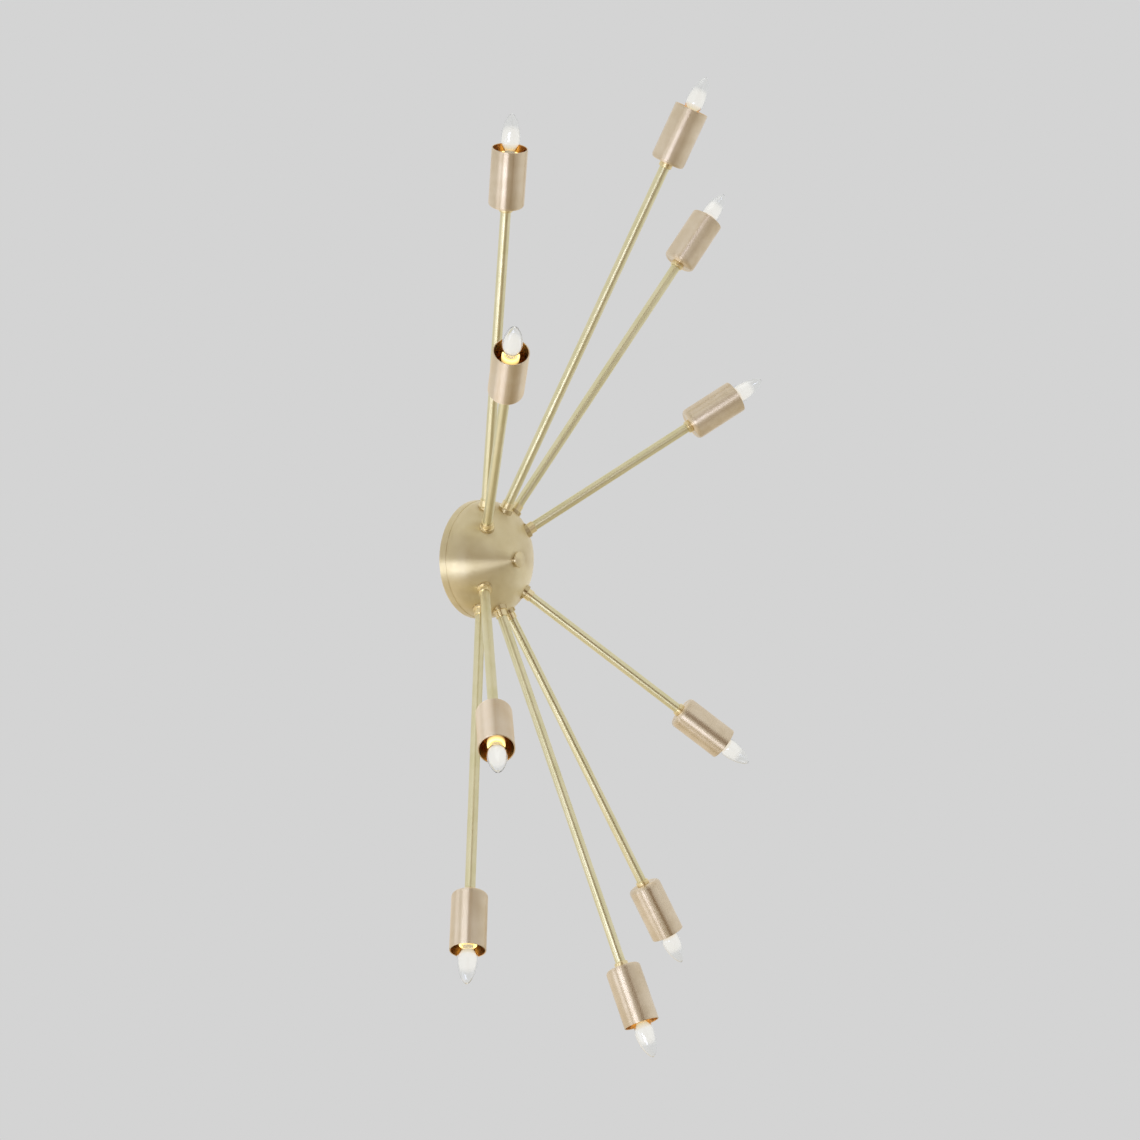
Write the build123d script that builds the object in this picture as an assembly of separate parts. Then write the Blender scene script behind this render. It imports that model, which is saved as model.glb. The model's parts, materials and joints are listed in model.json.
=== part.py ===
"""Wall light with ten cup-ended arms that stand out of a half dome like the rays of a star.

Millimetres, +Z up. The wall is the plane Y = 0 and the light stands out of it towards -Y.
The origin is on the dome's axis, in the face that lies on the wall.
"""

from build123d import *
from math import atan2, cos, pi, radians, sin, sqrt
import os

# Dome and wall plate
DOME_RADIUS = 63.5
DOME_RISE = 46.0
DOME_SIDE = 3.0  # straight band at the rim
KNUCKLE_RADIUS = 31.5  # rounded shoulder, tangent to the straight band and to the flatter crown
SHEET = 1.2
HOLE_CLEARANCE = 0.1  # round a tube, in the radius
PLATE_RADIUS = 64.0
PLATE_DEPTH = 9.0
PLATE_OPENING_RADIUS = 22.0

# Wall screws: the slots take boxes with 2 3/4 in and with 3 1/2 in between the screws
NARROW_SCREW_SPACING = 69.9
WIDE_SCREW_SPACING = 88.9
SCREW_SLOT_WIDTH = 5.0
CROSSBAR_SIZE = (108.0, 16.0, 2.0)
CROSSBAR_CORNER = 3.0
GROUND_SCREW_X = 15.0
GROUND_SCREW_RADIUS = 2.0
GROUND_HEAD_RADIUS = 4.0
GROUND_HEAD_HEIGHT = 2.4
GROUND_SLOT = (1.0, 1.0)  # width and depth

# Centre fixing
STUD_RADIUS = 5.0
STUD_BORE_RADIUS = 2.0
STUD_REACH = 3.4  # past the dome, into the cap nut
STUD_CHAMFER = 0.5
STUD_HOLE_CLEARANCE = 0.2
STUD_NUT_FLATS = 17.0
STUD_NUT_HEIGHT = 4.0
CAP_BORE_CLEARANCE = 0.3
CAP_NECK_RADIUS = 7.0
CAP_NECK_HEIGHT = 1.6
CAP_HEAD_RADIUS = 8.6
CAP_HEAD_HEIGHT = 4.0
CAP_CROWN = 1.0
CAP_EDGE = 1.0
CAP_EDGE_BANDS = 2

# Arms. All point away from one spot on the dome's axis. Tilt is from the axis, turn is clockwise
# from straight up as seen from the room, and reach is from the spot to the mouth of the cup.
FOCUS_HEIGHT = 6.5
LONG_REACH = 524.0
MIDDLE_REACH = 455.0
SHORT_REACH = 333.0
UPPER_ARMS = [
    (55.5, -44.5, SHORT_REACH),
    (71.0, -20.5, MIDDLE_REACH),
    (62.5, 3.5, LONG_REACH),
    (70.5, 27.0, MIDDLE_REACH),
    (55.5, 47.5, SHORT_REACH),
]
# The lower five are the upper five given half a turn about the dome's axis.
ARMS = UPPER_ARMS + [(tilt, turn + 180, reach) for tilt, turn, reach in UPPER_ARMS]

TUBE_RADIUS = 5.25
TUBE_SHEET = 1.0
TUBE_THREAD_INSIDE_DOME = 9.0
TUBE_THREAD_INSIDE_CUP = 8.0

COLLAR_FLANGE_RADIUS = 8.3
COLLAR_FLANGE_HEIGHT = 1.8
COLLAR_NECK_RADIUS = 6.4
COLLAR_NECK_HEIGHT = 7.0
COLLAR_CHAMFER = 0.5
COLLAR_SKIRT = 5.0  # stock below the flange, which the dome's shape cuts away
LOCK_NUT_FLATS = 14.0
LOCK_NUT_HEIGHT = 3.5
LOCK_NUT_STOCK = 3.0  # stock above the nut, cut away in the same manner

CUP_RADIUS = 18.0
CUP_LENGTH = 60.0
CUP_BASE_EDGE = 4.0
CUP_EDGE_BANDS = 3
CUP_FLOOR = 2.0
CUP_NUT_RADIUS = 7.0
CUP_NUT_HEIGHT = 5.0
CUP_NUT_CHAMFER = 0.8

# Candelabra lamp holder and bulb
SOCKET_RADIUS = 8.8
SOCKET_RIM_BELOW_MOUTH = 5.0
SOCKET_BORE_RADIUS = 6.3
SOCKET_BORE_DEPTH = 16.0
BULB_BASE_RADIUS = 5.95
BULB_BASE_LENGTH = 13.0
BULB_BASE_SHEET = 0.7
BULB_CONTACT_RADIUS = 3.0
BULB_CONTACT_LENGTH = 2.0
BULB_COLLAR_HEIGHT = 1.0
BULB_GLASS_SHEET = 0.7
BULB_WAIST_RADIUS = 10.2
BULB_WAIST_HEIGHT = 16.0
BULB_HEIGHT = 39.0
BULB_NECK_BANDS = 2
BULB_TIP_BANDS = 3

# Out of the wall: the room side is local +Z, up is local +Y.
ROOM = Plane(origin=(0, 0, 0), x_dir=(1, 0, 0), z_dir=(0, -1, 0))

CROWN_HEIGHT = PLATE_DEPTH + DOME_RISE
KNUCKLE_CENTRE = (DOME_RADIUS - KNUCKLE_RADIUS, PLATE_DEPTH + DOME_SIDE)
# The crown's centre is on the axis, and its arc meets the knuckle's without a corner.
CROWN_OVER_KNUCKLE = CROWN_HEIGHT - KNUCKLE_CENTRE[1]
CROWN_RADIUS = (KNUCKLE_CENTRE[0] ** 2 + CROWN_OVER_KNUCKLE**2 - KNUCKLE_RADIUS**2) / (
    2 * (CROWN_OVER_KNUCKLE - KNUCKLE_RADIUS)
)
CROWN_CENTRE = CROWN_HEIGHT - CROWN_RADIUS
SOCKET_RIM = CUP_LENGTH - SOCKET_RIM_BELOW_MOUTH


def turned(*edges):
    """The solid that a closed outline makes round Z. Its points are given as radius and height."""
    return revolve(Plane.XZ * make_face(edges), Axis.Z)


def turned_outline(*points):
    """The same, from an outline of straight lines."""
    return turned(Polyline(*points, close=True))


def quarter_points(centre, across, along, start, end, bands):
    """Points on a quarter ellipse from one angle to another, in degrees, for a curve made of flat bands."""
    angles = [radians(start + (end - start) * step / bands) for step in range(bands + 1)]
    return [(centre[0] + across * cos(angle), centre[1] + along * sin(angle)) for angle in angles]


def hexagon_nut(flats, height, bore_radius):
    outline = RegularPolygon(flats / 2, 6, major_radius=False) - Circle(bore_radius)
    return extrude(outline, height)


# Dome


def dome_outline_points(inset):
    """Crown top, tangent point of crown and knuckle, and the band's two ends, this far inside the dome."""
    lean = atan2(KNUCKLE_CENTRE[0], KNUCKLE_CENTRE[1] - CROWN_CENTRE)
    crown = CROWN_RADIUS - inset
    top = (0, CROWN_HEIGHT - inset)
    shoulder = (crown * sin(lean), CROWN_CENTRE + crown * cos(lean))
    band_top = (DOME_RADIUS - inset, KNUCKLE_CENTRE[1])
    rim = (DOME_RADIUS - inset, PLATE_DEPTH)
    return top, shoulder, band_top, rim


def dome_skin(inset):
    """The dome's outline from the top down to the rim."""
    top, shoulder, band_top, rim = dome_outline_points(inset)
    crown = RadiusArc(top, shoulder, CROWN_RADIUS - inset)
    knuckle = RadiusArc(shoulder, band_top, KNUCKLE_RADIUS - inset)
    return crown, knuckle, Line(band_top, rim)


def dome_space(inset):
    """Everything inside the skin, from the wall to the crown, as one solid."""
    top, _, _, rim = dome_outline_points(inset)
    side = Line(rim, (rim[0], 0))
    floor = Line((rim[0], 0), (0, 0))
    axis = Line((0, 0), top)
    return turned(*dome_skin(inset), side, floor, axis)


def dome_shell():
    """The sheet alone, open at the back and with the hole for the stud at the top."""
    hole = STUD_RADIUS + STUD_HOLE_CLEARANCE
    shell = dome_space(0) - dome_space(SHEET) - Cylinder(2 * DOME_RADIUS, 2 * PLATE_DEPTH)
    return shell - Cylinder(hole, 3 * CROWN_HEIGHT)


def arm_distance(tilt):
    """How far along an arm's line the dome's outer face lies, from the spot that all arms point from."""
    across, out = sin(radians(tilt)), cos(radians(tilt))

    def to_arc(centre_radius, centre_height, radius):
        rise = FOCUS_HEIGHT - centre_height
        along = rise * out - centre_radius * across
        return -along + sqrt(along**2 - centre_radius**2 - rise**2 + radius**2)

    to_crown = to_arc(0, CROWN_CENTRE, CROWN_RADIUS)
    shoulder = dome_outline_points(0)[1]
    if to_crown * across < shoulder[0]:
        return to_crown
    return to_arc(*KNUCKLE_CENTRE, KNUCKLE_RADIUS)


def on_arm(tilt, turn, distance=0):
    """Place on an arm's line: local +Z runs out along the arm."""
    return ROOM * Pos(0, 0, FOCUS_HEIGHT) * Rot(0, 0, -turn) * Rot(-tilt, 0, 0) * Pos(0, 0, distance)


def dome():
    shell = ROOM * dome_shell()
    hole = Cylinder(TUBE_RADIUS + HOLE_CLEARANCE, DOME_RISE)
    for tilt, turn, _ in ARMS:
        shell -= on_arm(tilt, turn, arm_distance(tilt)) * hole
    return shell


# Wall plate and centre fixing


def screw_slots():
    spacing = (NARROW_SCREW_SPACING + WIDE_SCREW_SPACING) / 2
    length = (WIDE_SCREW_SPACING - NARROW_SCREW_SPACING) / 2 + SCREW_SLOT_WIDTH
    slot = SlotOverall(length, SCREW_SLOT_WIDTH)
    return extrude(Pos(-spacing / 2, 0) * slot + Pos(spacing / 2, 0) * slot, 4 * SHEET)


def wall_plate():
    pan = turned_outline(
        (PLATE_OPENING_RADIUS, 0),
        (PLATE_RADIUS, 0),
        (PLATE_RADIUS, PLATE_DEPTH),
        (PLATE_RADIUS - SHEET, PLATE_DEPTH),
        (PLATE_RADIUS - SHEET, SHEET),
        (PLATE_OPENING_RADIUS, SHEET),
    )
    return ROOM * (pan - screw_slots())


def crossbar():
    length, width, thickness = CROSSBAR_SIZE
    bar = extrude(RectangleRounded(length, width, CROSSBAR_CORNER) - Circle(STUD_RADIUS), thickness)
    bar -= Pos(GROUND_SCREW_X, 0) * Cylinder(GROUND_SCREW_RADIUS, 3 * thickness)
    return ROOM * Pos(0, 0, SHEET) * (bar - screw_slots())


def centre_stud():
    """Hollow threaded rod from the crossbar to the cap nut."""
    height = CROWN_HEIGHT + STUD_REACH
    narrow = STUD_RADIUS - STUD_CHAMFER
    return ROOM * turned_outline(
        (STUD_BORE_RADIUS, 0),
        (narrow, 0),
        (STUD_RADIUS, STUD_CHAMFER),
        (STUD_RADIUS, height - STUD_CHAMFER),
        (narrow, height),
        (STUD_BORE_RADIUS, height),
    )


def stud_nut():
    return ROOM * Pos(0, 0, SHEET + CROSSBAR_SIZE[2]) * hexagon_nut(STUD_NUT_FLATS, STUD_NUT_HEIGHT, STUD_RADIUS)


def ground_screw():
    """Slotted screw for the ground wire, in a tapped hole of the crossbar."""
    top = SHEET + CROSSBAR_SIZE[2]
    screw = turned_outline(
        (0, 0),
        (GROUND_SCREW_RADIUS, 0),
        (GROUND_SCREW_RADIUS, top),
        (GROUND_HEAD_RADIUS, top),
        (GROUND_HEAD_RADIUS, top + GROUND_HEAD_HEIGHT),
        (0, top + GROUND_HEAD_HEIGHT),
    )
    width, depth = GROUND_SLOT
    slot = Pos(0, 0, top + GROUND_HEAD_HEIGHT) * Box(3 * GROUND_HEAD_RADIUS, width, 2 * depth)
    return ROOM * Pos(GROUND_SCREW_X, 0) * (screw - slot)


def cap_nut():
    """Low button that screws on to the stud and holds the dome against the wall plate."""
    head = CAP_NECK_HEIGHT + CAP_HEAD_HEIGHT
    edge_top = head - CAP_CROWN
    crown_foot = (CAP_HEAD_RADIUS - CAP_EDGE, edge_top)
    crown_radius = (crown_foot[0] ** 2 + CAP_CROWN**2) / (2 * CAP_CROWN)
    edge_centre = (crown_foot[0], edge_top - CAP_EDGE)
    bore = STUD_RADIUS + CAP_BORE_CLEARANCE
    bore_end = STUD_REACH + CAP_BORE_CLEARANCE
    sides = Polyline(
        (0, head),
        (0, bore_end),
        (bore, bore_end),
        (bore, 0),
        (CAP_NECK_RADIUS, 0),
        (CAP_NECK_RADIUS, CAP_NECK_HEIGHT),
        (CAP_HEAD_RADIUS, CAP_NECK_HEIGHT),
        *quarter_points(edge_centre, CAP_EDGE, CAP_EDGE, 0, 90, CAP_EDGE_BANDS),
    )
    return ROOM * Pos(0, 0, CROWN_HEIGHT) * turned(sides, RadiusArc(crown_foot, (0, head), -crown_radius))


# Arms: each of these is made once, round local +Z


def tube(tilt, reach):
    start = arm_distance(tilt) - TUBE_THREAD_INSIDE_DOME
    end = reach - CUP_LENGTH + TUBE_THREAD_INSIDE_CUP
    length = end - start
    ring = Circle(TUBE_RADIUS) - Circle(TUBE_RADIUS - TUBE_SHEET)
    return Pos(0, 0, start) * extrude(ring, length)


def dome_collar(tilt):
    """Flanged sleeve round the foot of a tube, still to be cut to the dome it sits on."""
    flange_top = COLLAR_FLANGE_HEIGHT
    neck_top = flange_top + COLLAR_NECK_HEIGHT
    sleeve = turned_outline(
        (TUBE_RADIUS, -COLLAR_SKIRT),
        (COLLAR_FLANGE_RADIUS, -COLLAR_SKIRT),
        (COLLAR_FLANGE_RADIUS, flange_top),
        (COLLAR_NECK_RADIUS, flange_top),
        (COLLAR_NECK_RADIUS, neck_top - COLLAR_CHAMFER),
        (COLLAR_NECK_RADIUS - COLLAR_CHAMFER, neck_top),
        (TUBE_RADIUS, neck_top),
    )
    return Pos(0, 0, arm_distance(tilt)) * sleeve


def lock_nut(tilt):
    """Nut on the tube's inner thread, still to be cut to the inside of the dome."""
    blank = hexagon_nut(LOCK_NUT_FLATS, LOCK_NUT_HEIGHT + LOCK_NUT_STOCK, TUBE_RADIUS)
    return Pos(0, 0, arm_distance(tilt) - SHEET - LOCK_NUT_HEIGHT) * blank


def cup():
    """Open cylinder with a rounded base edge and a hole for the tube. The base stands at zero."""
    hole = TUBE_RADIUS + HOLE_CLEARANCE
    edge_centre = (CUP_RADIUS - CUP_BASE_EDGE, CUP_BASE_EDGE)
    base_edge = quarter_points(edge_centre, CUP_BASE_EDGE, CUP_BASE_EDGE, -90, 0, CUP_EDGE_BANDS)
    return turned_outline(
        (hole, 0),
        *base_edge,
        (CUP_RADIUS, CUP_LENGTH),
        (CUP_RADIUS - SHEET, CUP_LENGTH),
        (CUP_RADIUS - SHEET, CUP_BASE_EDGE),
        (CUP_RADIUS - CUP_BASE_EDGE, CUP_FLOOR),
        (hole, CUP_FLOOR),
    )


def cup_nut():
    """Round nut on the tube that backs the cup. Its top face touches the cup's base at zero."""
    return turned_outline(
        (TUBE_RADIUS, -CUP_NUT_HEIGHT),
        (CUP_NUT_RADIUS - CUP_NUT_CHAMFER, -CUP_NUT_HEIGHT),
        (CUP_NUT_RADIUS, CUP_NUT_CHAMFER - CUP_NUT_HEIGHT),
        (CUP_NUT_RADIUS, -CUP_NUT_CHAMFER / 2),
        (CUP_NUT_RADIUS - CUP_NUT_CHAMFER / 2, 0),
        (TUBE_RADIUS, 0),
    )


def socket():
    """Lamp holder that screws on to the tube's end and clamps the cup against its nut."""
    return turned_outline(
        (TUBE_RADIUS, CUP_FLOOR),
        (SOCKET_RADIUS, CUP_FLOOR),
        (SOCKET_RADIUS, SOCKET_RIM),
        (SOCKET_BORE_RADIUS, SOCKET_RIM),
        (SOCKET_BORE_RADIUS, SOCKET_RIM - SOCKET_BORE_DEPTH),
        (0, SOCKET_RIM - SOCKET_BORE_DEPTH),
        (0, TUBE_THREAD_INSIDE_CUP),
        (TUBE_RADIUS, TUBE_THREAD_INSIDE_CUP),
    )


def bulb_base():
    """Screw shell with its end contact. Its collar stands just above the lamp holder's rim."""
    top = SOCKET_RIM + BULB_COLLAR_HEIGHT
    bottom = top - BULB_BASE_LENGTH
    bore = BULB_BASE_RADIUS - BULB_BASE_SHEET
    return turned_outline(
        (0, bottom - BULB_CONTACT_LENGTH),
        (BULB_CONTACT_RADIUS, bottom - BULB_CONTACT_LENGTH),
        (BULB_BASE_RADIUS, bottom),
        (BULB_BASE_RADIUS, top),
        (bore, top),
        (bore, bottom + BULB_BASE_SHEET),
        (0, bottom + BULB_BASE_SHEET),
    )


def bulb_glass():
    """Hollow bulb: a narrow neck that swells to a waist and tapers to a blunt tip."""
    foot = SOCKET_RIM + BULB_COLLAR_HEIGHT

    def skin(inset):
        """From the neck up to the tip. A cosine swells the neck and a quarter ellipse closes the tip."""
        neck = []
        for step in range(BULB_NECK_BANDS):
            part = step / BULB_NECK_BANDS
            swell = (1 - cos(pi * part)) / 2
            radius = BULB_BASE_RADIUS + (BULB_WAIST_RADIUS - BULB_BASE_RADIUS) * swell
            neck.append((radius - inset, foot + BULB_WAIST_HEIGHT * part))
        waist = (0, foot + BULB_WAIST_HEIGHT)
        across = BULB_WAIST_RADIUS - inset
        along = BULB_HEIGHT - BULB_WAIST_HEIGHT - inset
        return neck + quarter_points(waist, across, along, 0, 90, BULB_TIP_BANDS)

    return turned_outline(*skin(0), *reversed(skin(BULB_GLASS_SHEET)))


def write(name, shape):
    shape.label = name
    export_step(shape, f"parts/{name}.step")


def main():
    os.makedirs("parts", exist_ok=True)
    write("dome", dome())
    write("wall_plate", wall_plate())
    write("crossbar", crossbar())
    write("centre_stud", centre_stud())
    write("stud_nut", stud_nut())
    write("ground_screw", ground_screw())
    write("cap_nut", cap_nut())

    outside_dome = ROOM * dome_space(0)
    inside_dome = ROOM * dome_space(SHEET)
    collars, lock_nuts, cup_nuts = [], [], []
    for number, (tilt, turn, reach) in enumerate(ARMS, start=1):
        place = on_arm(tilt, turn)
        cup_place = on_arm(tilt, turn, reach - CUP_LENGTH)
        write(f"arm_tube_{number:02d}", place * tube(tilt, reach))
        write(f"cup_{number:02d}", cup_place * cup())
        write(f"socket_{number:02d}", cup_place * socket())
        write(f"bulb_base_{number:02d}", cup_place * bulb_base())
        write(f"bulb_glass_{number:02d}", cup_place * bulb_glass())
        collars.append(place * dome_collar(tilt) - outside_dome)
        lock_nuts.append((place * lock_nut(tilt)) & inside_dome)
        cup_nuts.append(cup_place * cup_nut())
    write("dome_collars", Compound(children=[s for c in collars for s in c.solids()]))
    write("lock_nuts", Compound(children=[s for n in lock_nuts for s in n.solids()]))
    write("cup_nuts", Compound(children=[s for n in cup_nuts for s in n.solids()]))


main()
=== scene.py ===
"""Looks of a wall light with ten cup-ended arms on a half dome.

Sizes are in millimetres and are scaled by MM where a mesh or a place is made. The wall is the
plane Y = 0, the room is on the -Y side, and every arm points away from one spot on the dome's axis.
"""

import bmesh
import bpy
import json
import math
from mathutils import Matrix, Vector
from mathutils.bvhtree import BVHTree


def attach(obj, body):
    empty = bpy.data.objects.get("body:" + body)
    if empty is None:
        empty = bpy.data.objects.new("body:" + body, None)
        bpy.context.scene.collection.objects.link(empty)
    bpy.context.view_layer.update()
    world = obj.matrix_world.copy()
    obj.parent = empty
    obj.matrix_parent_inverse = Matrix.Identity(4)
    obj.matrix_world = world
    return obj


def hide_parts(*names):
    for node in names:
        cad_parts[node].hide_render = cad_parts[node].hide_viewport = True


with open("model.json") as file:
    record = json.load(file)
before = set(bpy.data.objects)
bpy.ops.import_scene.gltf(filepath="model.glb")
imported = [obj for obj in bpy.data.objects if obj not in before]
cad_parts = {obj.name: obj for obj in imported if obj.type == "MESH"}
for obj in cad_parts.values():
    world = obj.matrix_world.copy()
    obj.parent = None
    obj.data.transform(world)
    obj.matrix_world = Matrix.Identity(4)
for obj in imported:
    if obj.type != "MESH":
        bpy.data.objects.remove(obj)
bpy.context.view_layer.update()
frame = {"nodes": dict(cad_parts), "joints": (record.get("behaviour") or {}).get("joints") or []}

MM = 0.001
SIDES = 96  # of a turned piece as wide as a cup

# Camera, from the photograph of 1140 x 1140 pixels: the focus of the arms as seen from the camera
VIEW_AZIMUTH = math.radians(-52.84)
VIEW_ELEVATION = math.radians(-0.69)
VIEW_ROLL = math.radians(1.16)
LENS = 71.42
SENSOR = 36.0
FOCUS_RIGHT, FOCUS_UP, FOCUS_AHEAD = -94.5, 11.5, 2436.0

# Dome and wall plate
FOCUS_HEIGHT = 6.5
DOME_RADIUS = 63.5
DOME_RISE = 46.0
DOME_SIDE = 3.0
KNUCKLE_RADIUS = 31.5
SHEET = 1.2
PLATE_RADIUS = 64.0
PLATE_DEPTH = 9.0
PLATE_OPENING_RADIUS = 22.0
SLOT_SPACING = 79.4
SLOT_LENGTH = 14.5
SLOT_WIDTH = 5.0
CROWN_HEIGHT = PLATE_DEPTH + DOME_RISE
STUD_HOLE_RADIUS = 5.2
DOME_SIDES = 216
PLATE_SIDES = 192

# Cap nut
CAP_HEAD_RADIUS, CAP_HEAD_HEIGHT = 8.6, 4.0
CAP_EDGE, CAP_CROWN = 1.0, 1.8
CAP_NECK_RADIUS, CAP_NECK_HEIGHT = 7.0, 1.6
CAP_BORE_RADIUS, CAP_BORE_DEPTH = 5.3, 3.2

# Arms
ARM_COUNT = 10
TUBE_RADIUS = 5.25
TUBE_SHEET = 1.0
TUBE_PLAY = 0.1  # between a tube and the hole that it passes through
COLLAR_FLANGE_RADIUS, COLLAR_FLANGE_HEIGHT = 8.3, 1.8
COLLAR_NECK_RADIUS, COLLAR_NECK_HEIGHT = 6.4, 7.0
CUP_RADIUS, CUP_LENGTH, CUP_BASE_EDGE, CUP_FLOOR = 18.0, 60.0, 4.0, 2.0
CUP_NUT_RADIUS, CUP_NUT_HEIGHT = 7.0, 5.0
SOCKET_RADIUS = 8.8
SOCKET_RIM = CUP_LENGTH - 5.0
SOCKET_BORE_RADIUS, SOCKET_BORE_DEPTH = 6.3, 16.0
SOCKET_FOOT = 8.0  # where the tube's end meets the holder
BASE_RADIUS, BASE_LENGTH = 5.95, 13.0
THREAD_PITCH, THREAD_DEPTH = 2.54, 0.25
SHELL_RINGS, SHELL_STEP = 34, 0.35
BULB_FOOT = SOCKET_RIM + 1.0
BULB_WAIST_RADIUS, BULB_WAIST_HEIGHT, BULB_HEIGHT = 10.2, 11.0, 38.8
GLASS_SHEET = 0.7
GLASS_TIP = 1.2
GLOW_START, GLOW_END = 0.2, 26.0
GLOW_INSET = GLASS_SHEET + 0.6
SMALL_SIDES = 72  # of a turned piece as narrow as a nut

OUT_OF_WALL = Matrix.Rotation(math.radians(90), 4, "X")  # local +Z becomes the room side, -Y
FOCUS = Vector((0, -FOCUS_HEIGHT, 0)) * MM


# Materials

LIGHT_BRASS = (0.88, 0.75, 0.46, 1)
DARK_BRASS = (0.84, 0.70, 0.39, 1)
LIGHT_CHAMPAGNE = (0.90, 0.77, 0.59, 1)
DARK_CHAMPAGNE = (0.87, 0.72, 0.51, 1)
PALE_BRASS = (0.83, 0.76, 0.51, 1)
GREENISH_BRASS = (0.77, 0.71, 0.43, 1)
LIGHT_BUTTON = (0.82, 0.70, 0.44, 1)
DARK_BUTTON = (0.76, 0.63, 0.38, 1)
# Amber brass for the cups' insides: the lit bulb's warm reflection painted into the colour.
LIGHT_AMBER_PAINTED_REFLECTION = (0.85, 0.56, 0.22, 1)
DARK_AMBER_PAINTED_REFLECTION = (0.74, 0.42, 0.13, 1)
# Painted shade: a dark brown laid on the collars' flange rims, where shade falls at their edge.
PAINTED_RIM_SHADE = (0.30, 0.21, 0.10, 1)
SHADED_RIM_RADII = (7.7, 8.3)  # radii on a collar between which shade is painted on its brass
LACQUER_ROUGHNESS = 0.35
ROUND_LINES = (90, 90, 5200)  # lines that run round a piece, as a lathe or a spinning tool leaves them
LONG_LINES = (3800, 3800, 60)  # lines that run along a drawn tube
MIST_PER_METRE = 300.0
MIST_BRIGHTNESS = 0.87
MIST_WHITE = (1.0, 0.98, 0.93, 1)
MIST_AMBER = (1.0, 0.80, 0.42, 1)


def shaded(colour, share):
    return [part * share for part in colour[:3]] + [1.0]


class Graph:
    """A material's node tree, with short ways to add nodes and to join them."""

    def __init__(self, name):
        self.material = bpy.data.materials.new(name)
        self.material.use_nodes = True
        self.tree = self.material.node_tree
        self.shader = self.tree.nodes["Principled BSDF"]

    def add(self, kind, sockets=None, **settings):
        made = self.tree.nodes.new(kind)
        for key, value in settings.items():
            setattr(made, key, value)
        self.set(made, sockets or {})
        return made

    def set(self, made, sockets):
        for key, value in sockets.items():
            if isinstance(value, bpy.types.NodeSocket):
                self.tree.links.new(value, made.inputs[key])
            else:
                made.inputs[key].default_value = value

    def place(self, kind="Object"):
        return self.add("ShaderNodeTexCoord").outputs[kind]

    def part_of(self, vector, axis):
        return self.add("ShaderNodeSeparateXYZ", {0: vector}).outputs[axis]

    def noise(self, scale, detail=3.0, roughness=0.55, stretch=None):
        """Noise in the piece's own space. stretch scales that space along X, Y and Z."""
        place = self.place()
        if stretch:
            place = self.add("ShaderNodeMapping", {"Vector": place, "Scale": stretch}).outputs["Vector"]
        values = {"Vector": place, "Scale": scale, "Detail": detail, "Roughness": roughness}
        return self.add("ShaderNodeTexNoise", values).outputs["Fac"]

    def spread(self, value, low, high, start=0.3, end=0.7):
        """Maps a noise value from its usual span to low..high."""
        sockets = {"Value": value, "From Min": start, "From Max": end, "To Min": low, "To Max": high}
        return self.add("ShaderNodeMapRange", sockets).outputs["Result"]

    def ease(self, value, start, end):
        """Maps start..end to 0..1 with a soft beginning and end."""
        sockets = {"Value": value, "From Min": start, "From Max": end}
        made = self.add("ShaderNodeMapRange", sockets, interpolation_type="SMOOTHSTEP")
        return made.outputs["Result"]

    def combine(self, operation, first, second):
        return self.add("ShaderNodeMath", {0: first, 1: second}, operation=operation).outputs[0]

    def vector(self, operation, output, *values):
        sockets = dict(enumerate(values))
        return self.add("ShaderNodeVectorMath", sockets, operation=operation).outputs[output]

    def mix(self, factor, first, second, blend="MIX"):
        made = self.add("ShaderNodeMix", data_type="RGBA", blend_type=blend)
        self.set(made, {0: factor, 6: first, 7: second})
        return made.outputs[2]

    def bump(self, height, strength, depth):
        sockets = {"Height": height, "Strength": strength, "Distance": depth * MM}
        self.set(self.shader, {"Normal": self.add("ShaderNodeBump", sockets).outputs["Normal"]})


def brass(name, light, dark, roughness, streak, stretch, grain_depth, painted_shade_rim=None, lacquer=0.0):
    """Satin brass. stretch is the scale of its fine lines, and streak how far they draw out a highlight.

    painted_shade_rim is the pair of radii in millimetres between which shade is painted on the brass,
    darkening it.
    """
    graph = Graph(name)
    grain = graph.noise(1.0, 4.0, 0.7, stretch)
    cloud = graph.noise(34.0, 3.0, 0.6)
    speck = graph.noise(900.0, 2.0, 0.5)
    tone = graph.mix(graph.spread(cloud, 0.0, 1.0, 0.32, 0.68), light, dark)
    tone = graph.mix(graph.spread(grain, 0.0, 0.1, 0.35, 0.75), tone, shaded(dark, 0.8))
    if painted_shade_rim:
        # Painted shade: the brass darkens towards the outer of the painted_shade_rim radii.
        flat = graph.vector("MULTIPLY", "Vector", graph.place(), (1, 1, 0))
        across = graph.vector("LENGTH", "Value", flat)
        rim = graph.spread(across, 0.0, 0.45, *[radius * MM for radius in painted_shade_rim])
        tone = graph.mix(rim, tone, PAINTED_RIM_SHADE)
    handled = graph.spread(cloud, -0.035, 0.05)
    fine = graph.spread(grain, roughness - 0.03, roughness + 0.05)
    rough = graph.combine("ADD", handled, fine)
    rough = graph.combine("ADD", rough, graph.spread(speck, 0.0, 0.03))
    tangent = graph.add("ShaderNodeTangent", direction_type="RADIAL", axis="Z").outputs[0]
    values = {"Base Color": tone, "Metallic": 1.0, "Roughness": rough, "Anisotropic": streak}
    graph.set(graph.shader, values | {"Anisotropic Rotation": 0.25, "Tangent": tangent})
    if lacquer:
        graph.set(graph.shader, {"Coat Weight": lacquer, "Coat Roughness": LACQUER_ROUGHNESS})
    graph.bump(grain, 0.25, grain_depth)
    return graph.material


def plated_steel(name, colour, roughness):
    graph = Graph(name)
    cloud = graph.noise(160.0, 4.0, 0.6)
    grain = graph.noise(1.0, 3.0, 0.6, (2500, 300, 2500))
    tone = graph.mix(graph.spread(cloud, 0.0, 1.0), colour, shaded(colour, 0.78))
    rough = graph.spread(grain, roughness - 0.06, roughness + 0.1)
    graph.set(graph.shader, {"Base Color": tone, "Metallic": 1.0, "Roughness": rough})
    graph.bump(grain, 0.3, 0.02)
    return graph.material


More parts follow.
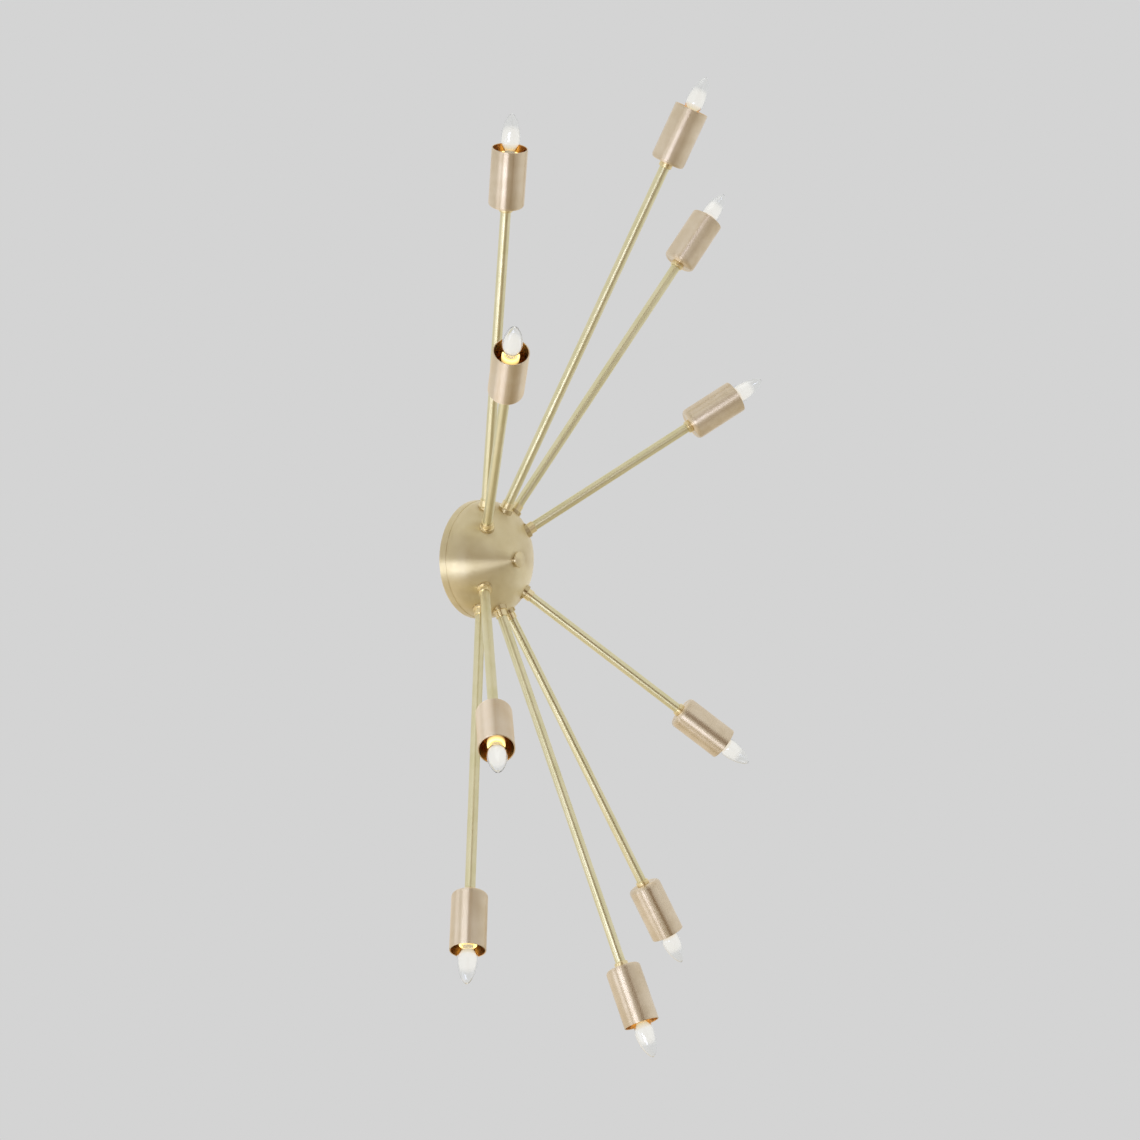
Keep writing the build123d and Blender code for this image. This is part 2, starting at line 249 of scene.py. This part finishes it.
def holder_plastic_painted_glow():
    """Ivory moulded plastic of the lamp holders, with a warm glow painted near the rim in place of the
    bulb's light.
    """
    graph = Graph("holder_plastic_painted_glow")
    cloud = graph.noise(220.0, 4.0, 0.6)
    scuff = graph.noise(1500.0, 2.0, 0.5)
    tone = graph.mix(graph.spread(cloud, 0.0, 1.0), (0.86, 0.74, 0.42, 1), (0.74, 0.60, 0.30, 1))
    height = graph.part_of(graph.place("Generated"), "Z")
    # Painted glow: the top of the holder shines warm on its own, standing in for the bulb's light on it.
    shine = graph.spread(height, 0.0, 1.6, 0.86, 1.0)
    values = {"Base Color": tone, "Roughness": graph.spread(scuff, 0.32, 0.5)}
    graph.set(graph.shader, values | {"Emission Color": (1.0, 0.72, 0.25, 1), "Emission Strength": shine})
    graph.bump(scuff, 0.2, 0.03)
    return graph.material


def clear_glass():
    graph = Graph("clear_glass")
    seed = graph.noise(300.0, 2.0, 0.5)
    tone = graph.mix(seed, (1, 1, 1, 1), (0.97, 0.98, 0.97, 1))
    values = {"Base Color": tone, "Transmission Weight": 1.0, "IOR": 1.45}
    graph.set(graph.shader, values | {"Roughness": graph.spread(seed, 0.0, 0.02)})
    graph.bump(graph.noise(90.0, 2.0, 0.5), 0.05, 0.1)
    return graph.material


def filament_glow():
    """The glow round the lit filament: a shining mist that thins out at both ends.

    It hides what is behind it, so a thick part is no brighter than a thin one, and it is amber at its foot.
    """
    graph = Graph("filament_glow")
    height = graph.part_of(graph.place("Generated"), "Z")
    thick = graph.combine("MULTIPLY", graph.ease(height, 0.0, 0.2), graph.ease(height, 1.0, 0.62))
    wisp = graph.spread(graph.noise(260.0, 2.0, 0.5), 0.8, 1.2)
    thick = graph.combine("MULTIPLY", thick, wisp)
    thick = graph.combine("MULTIPLY", thick, MIST_PER_METRE)
    veil = graph.add("ShaderNodeVolumeAbsorption", {"Color": (0, 0, 0, 1), "Density": thick}).outputs[0]
    shine = graph.combine("MULTIPLY", thick, MIST_BRIGHTNESS)
    tone = graph.mix(graph.spread(height, 0.0, 1.0, 0.05, 0.35), MIST_AMBER, MIST_WHITE)
    shine = graph.add("ShaderNodeEmission", {"Color": tone, "Strength": shine}).outputs[0]
    mist = graph.add("ShaderNodeAddShader", {0: veil, 1: shine})
    graph.tree.nodes.remove(graph.shader)
    graph.tree.links.new(mist.outputs[0], graph.tree.nodes["Material Output"].inputs["Volume"])
    return graph.material


spun_brass = brass("spun_brass", LIGHT_BRASS, DARK_BRASS, 0.42, 1.0, ROUND_LINES, 0.008, lacquer=0.9)
drawn_brass = brass("drawn_brass", PALE_BRASS, GREENISH_BRASS, 0.34, 0.8, LONG_LINES, 0.002)
cup_brass = brass("cup_brass", LIGHT_CHAMPAGNE, DARK_CHAMPAGNE, 0.40, 1.0, ROUND_LINES, 0.006)
turned_brass = brass("turned_brass", LIGHT_BRASS, DARK_BRASS, 0.30, 0.8, ROUND_LINES, 0.008)
# Collars, with shade painted darker on their flange rims.
collar_brass_painted_shade = brass("collar_brass_painted_shade", LIGHT_BRASS, DARK_BRASS, 0.30, 0.8, ROUND_LINES, 0.008, SHADED_RIM_RADII)
button_brass = brass("button_brass", LIGHT_BUTTON, DARK_BUTTON, 0.30, 1.0, ROUND_LINES, 0.004)
# The cups' insides, with the bulb's warm reflection painted in as amber.
inside_brass_painted_reflection = brass("inside_brass_painted_reflection", LIGHT_AMBER_PAINTED_REFLECTION, DARK_AMBER_PAINTED_REFLECTION, 0.26, 0.6, ROUND_LINES, 0.006)
zinc_steel = plated_steel("zinc_steel", (0.72, 0.73, 0.74, 1), 0.34)
green_screw = plated_steel("green_screw", (0.16, 0.42, 0.20, 1), 0.38)
shell_nickel = plated_steel("shell_nickel", (0.80, 0.78, 0.74, 1), 0.25)
ivory_painted_glow = holder_plastic_painted_glow()
glass = clear_glass()
glow = filament_glow()


# Mesh code


def line(*points):
    """Straight parts of an outline through (radius, height) points."""
    return [Vector(point) for point in points]


def rounded(*corners, steps=5):
    """Closed outline through (radius, height, corner radius) points, with arcs where there is a radius."""
    outline = []
    for index, (across, up, radius) in enumerate(corners):
        here = Vector((across, up))
        if not radius:
            outline.append(here)
            continue
        back = (Vector(corners[index - 1][:2]) - here).normalized()
        ahead = (Vector(corners[(index + 1) % len(corners)][:2]) - here).normalized()
        half = back.angle(ahead) / 2
        centre = here + (back + ahead).normalized() * radius / math.sin(half)
        reach = radius / math.tan(half)
        start, end = here + back * reach - centre, here + ahead * reach - centre
        outline += [centre + radius * start.slerp(end, step / steps) for step in range(steps + 1)]
    return outline


def arc(centre, radius, start, end, steps):
    """Points of an arc from one angle to another, in radians from the outline's radius axis."""
    angles = [start + (end - start) * step / steps for step in range(steps + 1)]
    return [Vector((centre[0] + radius * math.cos(a), centre[1] + radius * math.sin(a))) for a in angles]


def lathe(outline, sides=SIDES):
    """Mesh that a closed outline of (radius, height) points makes round Z."""
    mesh = bmesh.new()
    turn = 2 * math.pi / sides
    rings = []
    for across, up in outline:
        if across < 1e-6:
            rings.append([mesh.verts.new((0, 0, up * MM))] * sides)
            continue
        points = [(across * math.cos(turn * i), across * math.sin(turn * i), up) for i in range(sides)]
        rings.append([mesh.verts.new(Vector(point) * MM) for point in points])
    for low, high in zip(rings, rings[1:] + rings[:1]):
        for i in range(sides):
            following = (i + 1) % sides
            corners = dict.fromkeys((low[i], low[following], high[following], high[i]))
            if len(corners) > 2:
                mesh.faces.new(corners)
    bmesh.ops.recalc_face_normals(mesh, faces=mesh.faces)
    return mesh


def screw_thread(mesh, pitch, depth, start, end):
    """Turns the skin between two heights into a rolled thread: its radius waves up and round."""
    for vertex in mesh.verts:
        across = vertex.co.xy.length
        up = vertex.co.z / MM
        if across < 1e-6 or not start < up < end:
            continue
        fade = min(1.0, (up - start) / pitch, (end - up) / pitch)
        turn = math.atan2(vertex.co.y, vertex.co.x)
        wave = depth * fade * MM * math.cos(2 * math.pi * up / pitch - turn)
        vertex.co.xy *= (across + wave) / across


def smooth(mesh, limit=math.radians(32)):
    """Smooth shading that breaks at real edges."""
    for face in mesh.faces:
        face.smooth = True
    for edge in mesh.edges:
        edge.smooth = len(edge.link_faces) == 2 and edge.calc_face_angle(0) < limit


def make_object(name, mesh):
    smooth(mesh)
    data = bpy.data.meshes.new(name)
    mesh.to_mesh(data)
    mesh.free()
    made = bpy.data.objects.new(name, data)
    bpy.context.scene.collection.objects.link(made)
    return made


def dress(made, material, body, place=Matrix(), nodes=()):
    """Gives a finished piece its material, place and body, and hides the imported nodes that it stands for.
    """
    made.data.materials.append(material)
    made.matrix_world = place
    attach(made, body)
    if nodes:
        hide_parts(*nodes)
    return made


def turned_piece(name, outline, material, body, place, nodes=(), sides=SIDES):
    return dress(make_object(name, lathe(outline, sides)), material, body, place, nodes)


def cut(made, cutters):
    """Cuts holes in a piece, and removes what cut them."""
    for cutter in cutters:
        modifier = made.modifiers.new(cutter.name, "BOOLEAN")
        modifier.object = cutter
        modifier.solver = "EXACT"
    bpy.context.view_layer.update()
    graph = bpy.context.evaluated_depsgraph_get()
    mesh = bmesh.new()
    mesh.from_mesh(bpy.data.meshes.new_from_object(made.evaluated_get(graph)))
    made.modifiers.clear()
    smooth(mesh)
    mesh.to_mesh(made.data)
    mesh.free()
    for cutter in cutters:
        bpy.data.objects.remove(cutter)


def cutting_rod(radius, low, high, place, sides=48):
    rod = make_object("cutting_rod", lathe(line((0, low), (radius, low), (radius, high), (0, high)), sides))
    rod.matrix_world = place
    return rod


# Arms: where each one points and how far it reaches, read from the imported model


def reach_along(node, axis):
    """Where a node starts and ends along a line from the focus, in millimetres."""
    far = [(vertex.co - FOCUS).dot(axis) / MM for vertex in frame["nodes"][node].data.vertices]
    return min(far), max(far)


def arm_frame(axis):
    """Place on an arm at the focus: local +Z runs out along the arm."""
    return Matrix.Translation(FOCUS) @ axis.to_track_quat("Z", "Y").to_matrix().to_4x4()


def read_arms():
    """Number, place at the focus, height of the cup's mouth, and start and end of the tube, for each arm."""
    axes = {joint["child"]: Vector(joint["axis"]) for joint in frame["joints"]}
    arms = []
    for number in range(1, ARM_COUNT + 1):
        axis = axes[f"bulb_{number:02d}"].normalized()
        mouth = reach_along(f"cup_{number:02d}", axis)[1]
        tube_start, tube_end = reach_along(f"arm_tube_{number:02d}", axis)
        arms.append((f"{number:02d}", arm_frame(axis), mouth, tube_start, tube_end))
    return arms


arms = read_arms()


# Dome and wall plate


def dome_skin(inset, steps=20):
    """Points of the dome's skin from the top down to the rim."""
    knuckle_across, knuckle_up = DOME_RADIUS - KNUCKLE_RADIUS, PLATE_DEPTH + DOME_SIDE
    rise = CROWN_HEIGHT - knuckle_up
    crown_radius = (knuckle_across**2 + rise**2 - KNUCKLE_RADIUS**2) / (2 * (rise - KNUCKLE_RADIUS))
    crown_centre = CROWN_HEIGHT - crown_radius
    lean = math.atan2(knuckle_up - crown_centre, knuckle_across)
    crown = arc((0, crown_centre), crown_radius - inset, math.pi / 2, lean, steps)
    knuckle = arc((knuckle_across, knuckle_up), KNUCKLE_RADIUS - inset, lean, 0, steps)
    crown[0].x = 0
    return crown + knuckle[1:] + line((DOME_RADIUS - inset, PLATE_DEPTH))


def build_dome():
    """The spun dome with its eleven holes. Returns its unpierced skin, for the collars to sit on."""
    outline = dome_skin(0) + dome_skin(SHEET)[::-1]
    dome = make_object("spun_dome", lathe(outline, DOME_SIDES))
    dome.matrix_world = OUT_OF_WALL
    corners = [OUT_OF_WALL @ vertex.co for vertex in dome.data.vertices]
    skin = BVHTree.FromPolygons(corners, [face.vertices[:] for face in dome.data.polygons])
    low, high = 20, 120  # inside the dome, and well outside it
    cutters = [cutting_rod(TUBE_RADIUS + TUBE_PLAY, low, high, place) for _, place, *_ in arms]
    cut(dome, cutters + [cutting_rod(STUD_HOLE_RADIUS, low, high, OUT_OF_WALL)])
    dress(dome, spun_brass, "fixture", OUT_OF_WALL, ["dome"])
    return skin


def slot_cutter(centre):
    """Round-ended bar that cuts a screw slot."""
    mesh = bmesh.new()
    half = (SLOT_LENGTH - SLOT_WIDTH) / 2
    ends = arc((half, 0), SLOT_WIDTH / 2, -math.pi / 2, math.pi / 2, 12)
    ends += arc((-half, 0), SLOT_WIDTH / 2, math.pi / 2, 3 * math.pi / 2, 12)
    low, high = -2.0, 4.0
    floor = [mesh.verts.new(Vector((point.x + centre, point.y, low)) * MM) for point in ends]
    face = mesh.faces.new(floor)
    top = bmesh.ops.extrude_face_region(mesh, geom=[face])["geom"]
    lift = Vector((0, 0, high - low)) * MM
    bmesh.ops.translate(mesh, vec=lift, verts=[v for v in top if isinstance(v, bmesh.types.BMVert)])
    bmesh.ops.recalc_face_normals(mesh, faces=mesh.faces)
    cutter = make_object("cutting_slot", mesh)
    cutter.matrix_world = OUT_OF_WALL
    return cutter


def build_wall_plate():
    """Shallow pan with a wide opening for the wires and two slots for the wall screws."""
    outline = rounded(
        (PLATE_OPENING_RADIUS, 0, 0.3),
        (PLATE_RADIUS, 0, 0.8),
        (PLATE_RADIUS, PLATE_DEPTH, 0.5),
        (PLATE_RADIUS - SHEET, PLATE_DEPTH, 0.3),
        (PLATE_RADIUS - SHEET, SHEET, 0.3),
        (PLATE_OPENING_RADIUS, SHEET, 0.3),
    )
    plate = make_object("wall_pan", lathe(outline, PLATE_SIDES))
    plate.matrix_world = OUT_OF_WALL
    cut(plate, [slot_cutter(-SLOT_SPACING / 2), slot_cutter(SLOT_SPACING / 2)])
    dress(plate, spun_brass, "fixture", OUT_OF_WALL, ["wall_plate"])


def build_cap_nut():
    """Low domed button with a narrower neck."""
    top = CAP_NECK_HEIGHT + CAP_HEAD_HEIGHT
    shoulder = (CAP_HEAD_RADIUS - CAP_EDGE, top - CAP_CROWN - CAP_EDGE)
    sphere = (shoulder[0] ** 2 + CAP_CROWN**2) / (2 * CAP_CROWN)
    outline = rounded(
        (CAP_NECK_RADIUS, 0, 0),
        (CAP_NECK_RADIUS, CAP_NECK_HEIGHT, 0.3),
        (CAP_HEAD_RADIUS, CAP_NECK_HEIGHT, 0.5),
        (CAP_HEAD_RADIUS, shoulder[1], 0),
    )
    outline += arc(shoulder, CAP_EDGE, 0, math.pi / 2, 8)[1:]
    lean = math.asin((sphere - CAP_CROWN) / sphere)
    outline += arc((0, top - sphere), sphere, lean, math.pi / 2, 14)[1:]
    outline[-1].x = 0
    outline += line((0, CAP_BORE_DEPTH), (CAP_BORE_RADIUS, CAP_BORE_DEPTH), (CAP_BORE_RADIUS, 0))
    place = OUT_OF_WALL @ Matrix.Translation((0, 0, CROWN_HEIGHT * MM))
    turned_piece("cap_button", outline, button_brass, "cap_nut", place, ["cap_nut"])


# Arm pieces


def build_collar(number, place, skin):
    """Flanged sleeve whose underside is drawn down on to the dome."""
    axis = place.to_quaternion() @ Vector((0, 0, 1))
    far = 0.2  # metres: outside the dome
    seat = far / MM - skin.ray_cast(FOCUS + axis * far, -axis)[3] / MM
    neck_top = COLLAR_FLANGE_HEIGHT + COLLAR_NECK_HEIGHT
    skirt = -5
    outline = rounded(
        (TUBE_RADIUS, skirt, 0),
        (COLLAR_FLANGE_RADIUS, skirt, 0),
        (COLLAR_FLANGE_RADIUS, COLLAR_FLANGE_HEIGHT, 0.45),
        (COLLAR_NECK_RADIUS, COLLAR_FLANGE_HEIGHT, 0.5),
        (COLLAR_NECK_RADIUS, neck_top, 0.5),
        (TUBE_RADIUS, neck_top, 0),
    )
    mesh = lathe(outline, SMALL_SIDES)
    seated = place @ Matrix.Translation((0, 0, seat * MM))
    for vertex in mesh.verts:
        if vertex.co.z < (skirt + 1) * MM:
            start = seated @ Vector((vertex.co.x, vertex.co.y, far))
            vertex.co = seated.inverted() @ skin.ray_cast(start, -axis)[0]
    collar = make_object(f"collar_{number}", mesh)
    dress(collar, collar_brass_painted_shade, "fixture", seated, ["dome_collars"])


def build_tube(number, place, start, end):
    outline = rounded(
        (TUBE_RADIUS - TUBE_SHEET, start, 0.2),
        (TUBE_RADIUS, start, 0.3),
        (TUBE_RADIUS, end, 0.3),
        (TUBE_RADIUS - TUBE_SHEET, end, 0.2),
    )
    node = f"arm_tube_{number}"
    turned_piece(f"tube_{number}", outline, drawn_brass, "fixture", place, [node], 64)


def build_cup(number, place):
    """Turned cup. Its inside has a second, amber brass, whose colour paints in the warm reflection of the
    lit bulb.
    """
    inside = CUP_RADIUS - SHEET
    hole = TUBE_RADIUS + TUBE_PLAY
    outline = rounded(
        (hole, 0, 0.2),
        (CUP_RADIUS, 0, CUP_BASE_EDGE),
        (CUP_RADIUS, CUP_LENGTH, 0.5),
        (inside, CUP_LENGTH, 0.4),
        (inside, CUP_FLOOR, CUP_BASE_EDGE - SHEET),
        (hole, CUP_FLOOR, 0.2),
        steps=9,
    )
    node = f"cup_{number}"
    cup = turned_piece(f"turned_{node}", outline, cup_brass, "fixture", place, [node], 128)
    cup.data.materials.append(inside_brass_painted_reflection)
    # Faces inside the cup get the amber brass with the painted reflection.
    for face in cup.data.polygons:
        if face.center.xy.length < (inside + 0.2) * MM and face.center.z > (CUP_FLOOR - 0.1) * MM:
            face.material_index = 1


def build_cup_nut(number, place):
    outline = rounded(
        (TUBE_RADIUS, -CUP_NUT_HEIGHT, 0.2),
        (CUP_NUT_RADIUS, -CUP_NUT_HEIGHT, 0.9),
        (CUP_NUT_RADIUS, 0, 0.5),
        (TUBE_RADIUS, 0, 0),
    )
    name, slot = f"cup_nut_{number}", "turned_brass"
    turned_piece(name, outline, turned_brass, "fixture", place, ["cup_nuts"], SMALL_SIDES)


def build_socket(number, place):
    floor = SOCKET_RIM - SOCKET_BORE_DEPTH
    outline = rounded(
        (TUBE_RADIUS, CUP_FLOOR, 0),
        (SOCKET_RADIUS, CUP_FLOOR, 0.4),
        (SOCKET_RADIUS, SOCKET_RIM, 0.8),
        (SOCKET_BORE_RADIUS, SOCKET_RIM, 0.7),
        (SOCKET_BORE_RADIUS, floor, 0.3),
        (0, floor, 0),
        (0, SOCKET_FOOT, 0),
        (TUBE_RADIUS, SOCKET_FOOT, 0),
    )
    node = f"socket_{number}"
    turned_piece(f"holder_{number}", outline, ivory_painted_glow, "fixture", place, [node])


def bulb_radius(up):
    """Outer radius of the glass at a height over its foot. It swells to a waist and narrows to a point."""
    if up < BULB_WAIST_HEIGHT:
        swell = (1 - math.cos(math.pi * up / BULB_WAIST_HEIGHT)) / 2
        return BASE_RADIUS + (BULB_WAIST_RADIUS - BASE_RADIUS) * swell
    part = min(1.0, (up - BULB_WAIST_HEIGHT) / (BULB_HEIGHT - BULB_WAIST_HEIGHT))
    return BULB_WAIST_RADIUS * (1 - part**2) ** 0.65


def bulb_skin(inset, start, end, steps):
    """Points of the glass's skin between two heights over its foot, moved this far inwards."""
    spans = [start + (end - start) * math.sin(math.pi / 2 * step / steps) for step in range(steps + 1)]
    return [Vector((max(0.0, bulb_radius(up) - inset), up + BULB_FOOT)) for up in spans]


def build_glass(number, place, body):
    shell = bulb_skin(0, 0, BULB_HEIGHT, 40)
    hollow = bulb_skin(GLASS_SHEET, 0, BULB_HEIGHT - GLASS_TIP, 40)
    hollow[-1].x = 0
    outline = shell + hollow[::-1]
    turned_piece(f"glass_{number}", outline, glass, body, place, [f"bulb_glass_{number}"])


def build_glow(number, place, body):
    mist = bulb_skin(GLOW_INSET, GLOW_START, GLOW_END, 24)
    outline = line((0, mist[0].y)) + mist + line((0, mist[-1].y + 1.5))
    turned_piece(f"glow_{number}", outline, glow, body, place, (), 64)


def build_base(number, place, body):
    """Screw shell with its rolled thread, the contact below it and the filling at its top."""
    top, bottom = BULB_FOOT, BULB_FOOT - BASE_LENGTH
    inside, filling = BASE_RADIUS - 0.9, top - 0.6
    outline = line((0, bottom - 2), (2.6, bottom - 2), (3.0, bottom - 1.6))
    outline += line((3.4, bottom - 0.2), (5.3, bottom + 0.9))
    skirt = [Vector((BASE_RADIUS - THREAD_DEPTH, top - SHELL_STEP * ring)) for ring in range(SHELL_RINGS)]
    outline += skirt[::-1] + line((inside, top), (inside, filling), (0, filling))
    mesh = lathe(outline, SMALL_SIDES)
    screw_thread(mesh, THREAD_PITCH, THREAD_DEPTH, bottom + 1.2, top - 1.5)
    base = make_object(f"base_{number}", mesh)
    dress(base, shell_nickel, body, place, [f"bulb_base_{number}"])


def build_bulb(number, place):
    body = f"bulb_{number}"
    build_glass(number, place, body)
    build_glow(number, place, body)
    build_base(number, place, body)


def build_arms(dome_skin_tree):
    for number, place, mouth, tube_start, tube_end in arms:
        cup_place = place @ Matrix.Translation((0, 0, (mouth - CUP_LENGTH) * MM))
        build_collar(number, place, dome_skin_tree)
        build_tube(number, place, tube_start, tube_end)
        build_cup(number, cup_place)
        build_cup_nut(number, cup_place)
        build_socket(number, cup_place)
        build_bulb(number, cup_place)


def dress_hidden_nodes():
    """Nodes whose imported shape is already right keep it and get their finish."""
    finishes = {"crossbar": zinc_steel, "centre_stud": zinc_steel, "stud_nut": zinc_steel}
    finishes |= {"lock_nuts": turned_brass, "ground_screw": green_screw}
    for node, finish in finishes.items():
        data = frame["nodes"][node].data
        data.materials.clear()
        data.materials.append(finish)


skin_tree = build_dome()
build_wall_plate()
build_cap_nut()
build_arms(skin_tree)
dress_hidden_nodes()


# Camera


def view_axes():
    """The camera's right, up and ahead."""
    flat = math.cos(VIEW_ELEVATION)
    across, along = math.sin(VIEW_AZIMUTH) * flat, math.cos(VIEW_AZIMUTH) * flat
    ahead = Vector((-across, along, -math.sin(VIEW_ELEVATION)))
    level = ahead.cross(Vector((0, 0, 1))).normalized()
    upright = level.cross(ahead)
    right = level * math.cos(VIEW_ROLL) + upright * math.sin(VIEW_ROLL)
    up = upright * math.cos(VIEW_ROLL) - level * math.sin(VIEW_ROLL)
    return right, up, ahead


right, up, ahead = view_axes()


def add_camera():
    data = bpy.data.cameras.new("camera")
    data.lens = LENS
    data.sensor_width = SENSOR
    data.clip_start = 0.05
    data.clip_end = 40
    camera = bpy.data.objects.new("camera", data)
    bpy.context.scene.collection.objects.link(camera)
    turn = Matrix((right, up, -ahead)).transposed().to_4x4()
    place = FOCUS - (right * FOCUS_RIGHT + up * FOCUS_UP + ahead * FOCUS_AHEAD) * MM
    camera.matrix_world = Matrix.Translation(place) @ turn
    bpy.context.scene.camera = camera


# Stage and light

BACKDROP = (0.658, 0.658, 0.658, 1)
MIRRORED_ROOM = (0.80, 0.80, 0.80, 1)
SOFT_LIGHT = (0.55, 0.55, 0.55, 1)
FLOOR_HEIGHT = -1.35
FLOOR_RADIUS = 2.4
MIRRORED_FLOOR_LEFT = (0.95, 0.88, 0.78, 1)
MIRRORED_FLOOR_RIGHT = (0.56, 0.50, 0.38, 1)
FLOOR_FADE_START, FLOOR_FADE_END = -0.8, 0.4  # metres to the right of the light
PALE_FLOOR, DULL_FLOOR = (0.88, 0.88, 0.88, 1), (0.84, 0.84, 0.84, 1)
COOL_LIGHT = (0.88, 0.97, 1.32)
WHITE_LIGHT = (1.0, 1.0, 1.0)
BOARD_START, BOARD_END, BOARD_DISTANCE = -8, 88, 2.3  # degrees to the right of the camera, and metres
BOARD_FOOT = (-0.1, FLOOR_HEIGHT)  # near the camera, and further to the right
BOARD_TOP = (2.0, 0.1)
BOARD_BROWN = (0.17, 0.08, 0.01, 1)


def toward(sideways, rise):
    """Direction from the light's middle, in degrees from the camera: to its right, and up."""
    sideways, rise = math.radians(sideways), math.radians(rise)
    level = -ahead * math.cos(sideways) + right * math.sin(sideways)
    return (level * math.cos(rise) + up * math.sin(rise)).normalized()


MIDDLE = Vector((0.06, -0.1, 0.0))


def add_softbox(name, sideways, rise, distance, width, height, watts, colour, mirrored):
    """Lamp that faces the light. mirrored says whether it shows in the brass."""
    data = bpy.data.lights.new(name, "AREA")
    data.shape = "RECTANGLE"
    data.size, data.size_y = width, height
    data.energy = watts
    data.color = colour
    lamp = bpy.data.objects.new(name, data)
    bpy.context.scene.collection.objects.link(lamp)
    direction = toward(sideways, rise)
    lamp.location = MIDDLE + direction * distance
    lamp.rotation_mode = "QUATERNION"
    lamp.rotation_quaternion = direction.to_track_quat("Z", "Y")
    lamp.visible_glossy = mirrored


def add_board():
    """Curved brown board beside the camera, which only the metal mirrors.

    It is darkest near the camera, where it hangs high. Further to the right it sinks to the floor.
    """
    name = "brown_board"
    mesh = bmesh.new()
    layer = mesh.loops.layers.uv.new("across")
    columns, rows = 48, 4
    strips = []
    for column in range(columns + 1):
        part = column / columns
        direction = toward(BOARD_START + (BOARD_END - BOARD_START) * part, 0) * BOARD_DISTANCE
        sunk = min(1.0, max(0.0, (part - 0.15) / 0.3))
        sunk = sunk * sunk * (3 - 2 * sunk)
        foot, top = [near + (far - near) * sunk for near, far in (BOARD_FOOT, BOARD_TOP)]
        heights = [foot + (top - foot) * row / rows for row in range(rows + 1)]
        strips.append([mesh.verts.new((direction.x, direction.y, height)) for height in heights])
    for column, (first, second) in enumerate(zip(strips, strips[1:])):
        for row in range(rows):
            face = mesh.faces.new((first[row], second[row], second[row + 1], first[row + 1]))
            for loop, step in zip(face.loops, (0, 1, 1, 0)):
                loop[layer].uv = ((column + step) / columns, 0.5)
    board = make_object(name, mesh)
    board.location = MIDDLE
    graph = Graph(name)
    weave = graph.spread(graph.noise(3.0, 3.0, 0.5), -0.03, 0.03)
    across = graph.combine("ADD", graph.part_of(graph.place("UV"), "X"), weave)
    tone = graph.mix(graph.ease(across, 0.3, 1.0), BOARD_BROWN, MIRRORED_ROOM)
    values = {"Base Color": (0, 0, 0, 1), "Specular IOR Level": 0.0, "Roughness": 1.0}
    graph.set(graph.shader, values | {"Emission Color": tone, "Emission Strength": 1.0})
    board.data.materials.append(graph.material)
    board.visible_camera = False
    board.visible_diffuse = False
    board.visible_transmission = False
    board.visible_shadow = False


def add_floor():
    """Pale floor. In the metal's mirror it is pale on the left and brown on the right."""
    mesh = bmesh.new()
    bmesh.ops.create_circle(mesh, cap_ends=True, segments=96, radius=FLOOR_RADIUS)
    floor = make_object("floor", mesh)
    floor.location.z = FLOOR_HEIGHT
    graph = Graph("pale_floor")
    cloud = graph.noise(2.0, 4.0, 0.5)
    graph.set(graph.shader, {"Base Color": graph.mix(cloud, PALE_FLOOR, DULL_FLOOR), "Roughness": 0.8})
    across = graph.vector("DOT_PRODUCT", "Value", graph.place(), right)
    fade = graph.spread(across, 0.0, 1.0, FLOOR_FADE_START, FLOOR_FADE_END)
    tone = graph.mix(fade, MIRRORED_FLOOR_LEFT, MIRRORED_FLOOR_RIGHT)
    mirrored = graph.add("ShaderNodeEmission", {"Color": tone, "Strength": 1.0}).outputs[0]
    ray = graph.add("ShaderNodeLightPath").outputs["Is Glossy Ray"]
    shown = graph.add("ShaderNodeMixShader", {0: ray, 1: graph.shader.outputs[0], 2: mirrored})
    graph.tree.links.new(shown.outputs[0], graph.tree.nodes["Material Output"].inputs["Surface"])
    floor.data.materials.append(graph.material)


def add_world():
    """Plain grey to the camera and through glass, paler in mirrors, and a soft grey light elsewhere."""
    world = bpy.data.worlds.new("studio")
    bpy.context.scene.world = world
    world.use_nodes = True
    tree = world.node_tree
    path = tree.nodes.new("ShaderNodeLightPath")
    shown = tree.nodes["Background"].outputs[0]
    tree.nodes["Background"].inputs["Color"].default_value = SOFT_LIGHT
    views = {"Is Glossy Ray": MIRRORED_ROOM, "Is Transmission Ray": BACKDROP, "Is Camera Ray": BACKDROP}
    for ray, colour in views.items():
        background = tree.nodes.new("ShaderNodeBackground")
        background.inputs["Color"].default_value = colour
        mix = tree.nodes.new("ShaderNodeMixShader")
        tree.links.new(path.outputs[ray], mix.inputs[0])
        tree.links.new(shown, mix.inputs[1])
        tree.links.new(background.outputs[0], mix.inputs[2])
        shown = mix.outputs[0]
    tree.links.new(shown, tree.nodes["World Output"].inputs[0])


add_camera()
add_floor()
add_world()
add_softbox("key", -22, -14.4, 2.2, 1.1, 0.8, 10.0, COOL_LIGHT, True)
add_softbox("side", -62, -22, 2.4, 1.0, 1.4, 4.5, COOL_LIGHT, True)
add_softbox("overhead", -20, 78, 2.0, 1.6, 1.6, 14, WHITE_LIGHT, False)
add_board()
bpy.context.scene.view_settings.view_transform = "Standard"
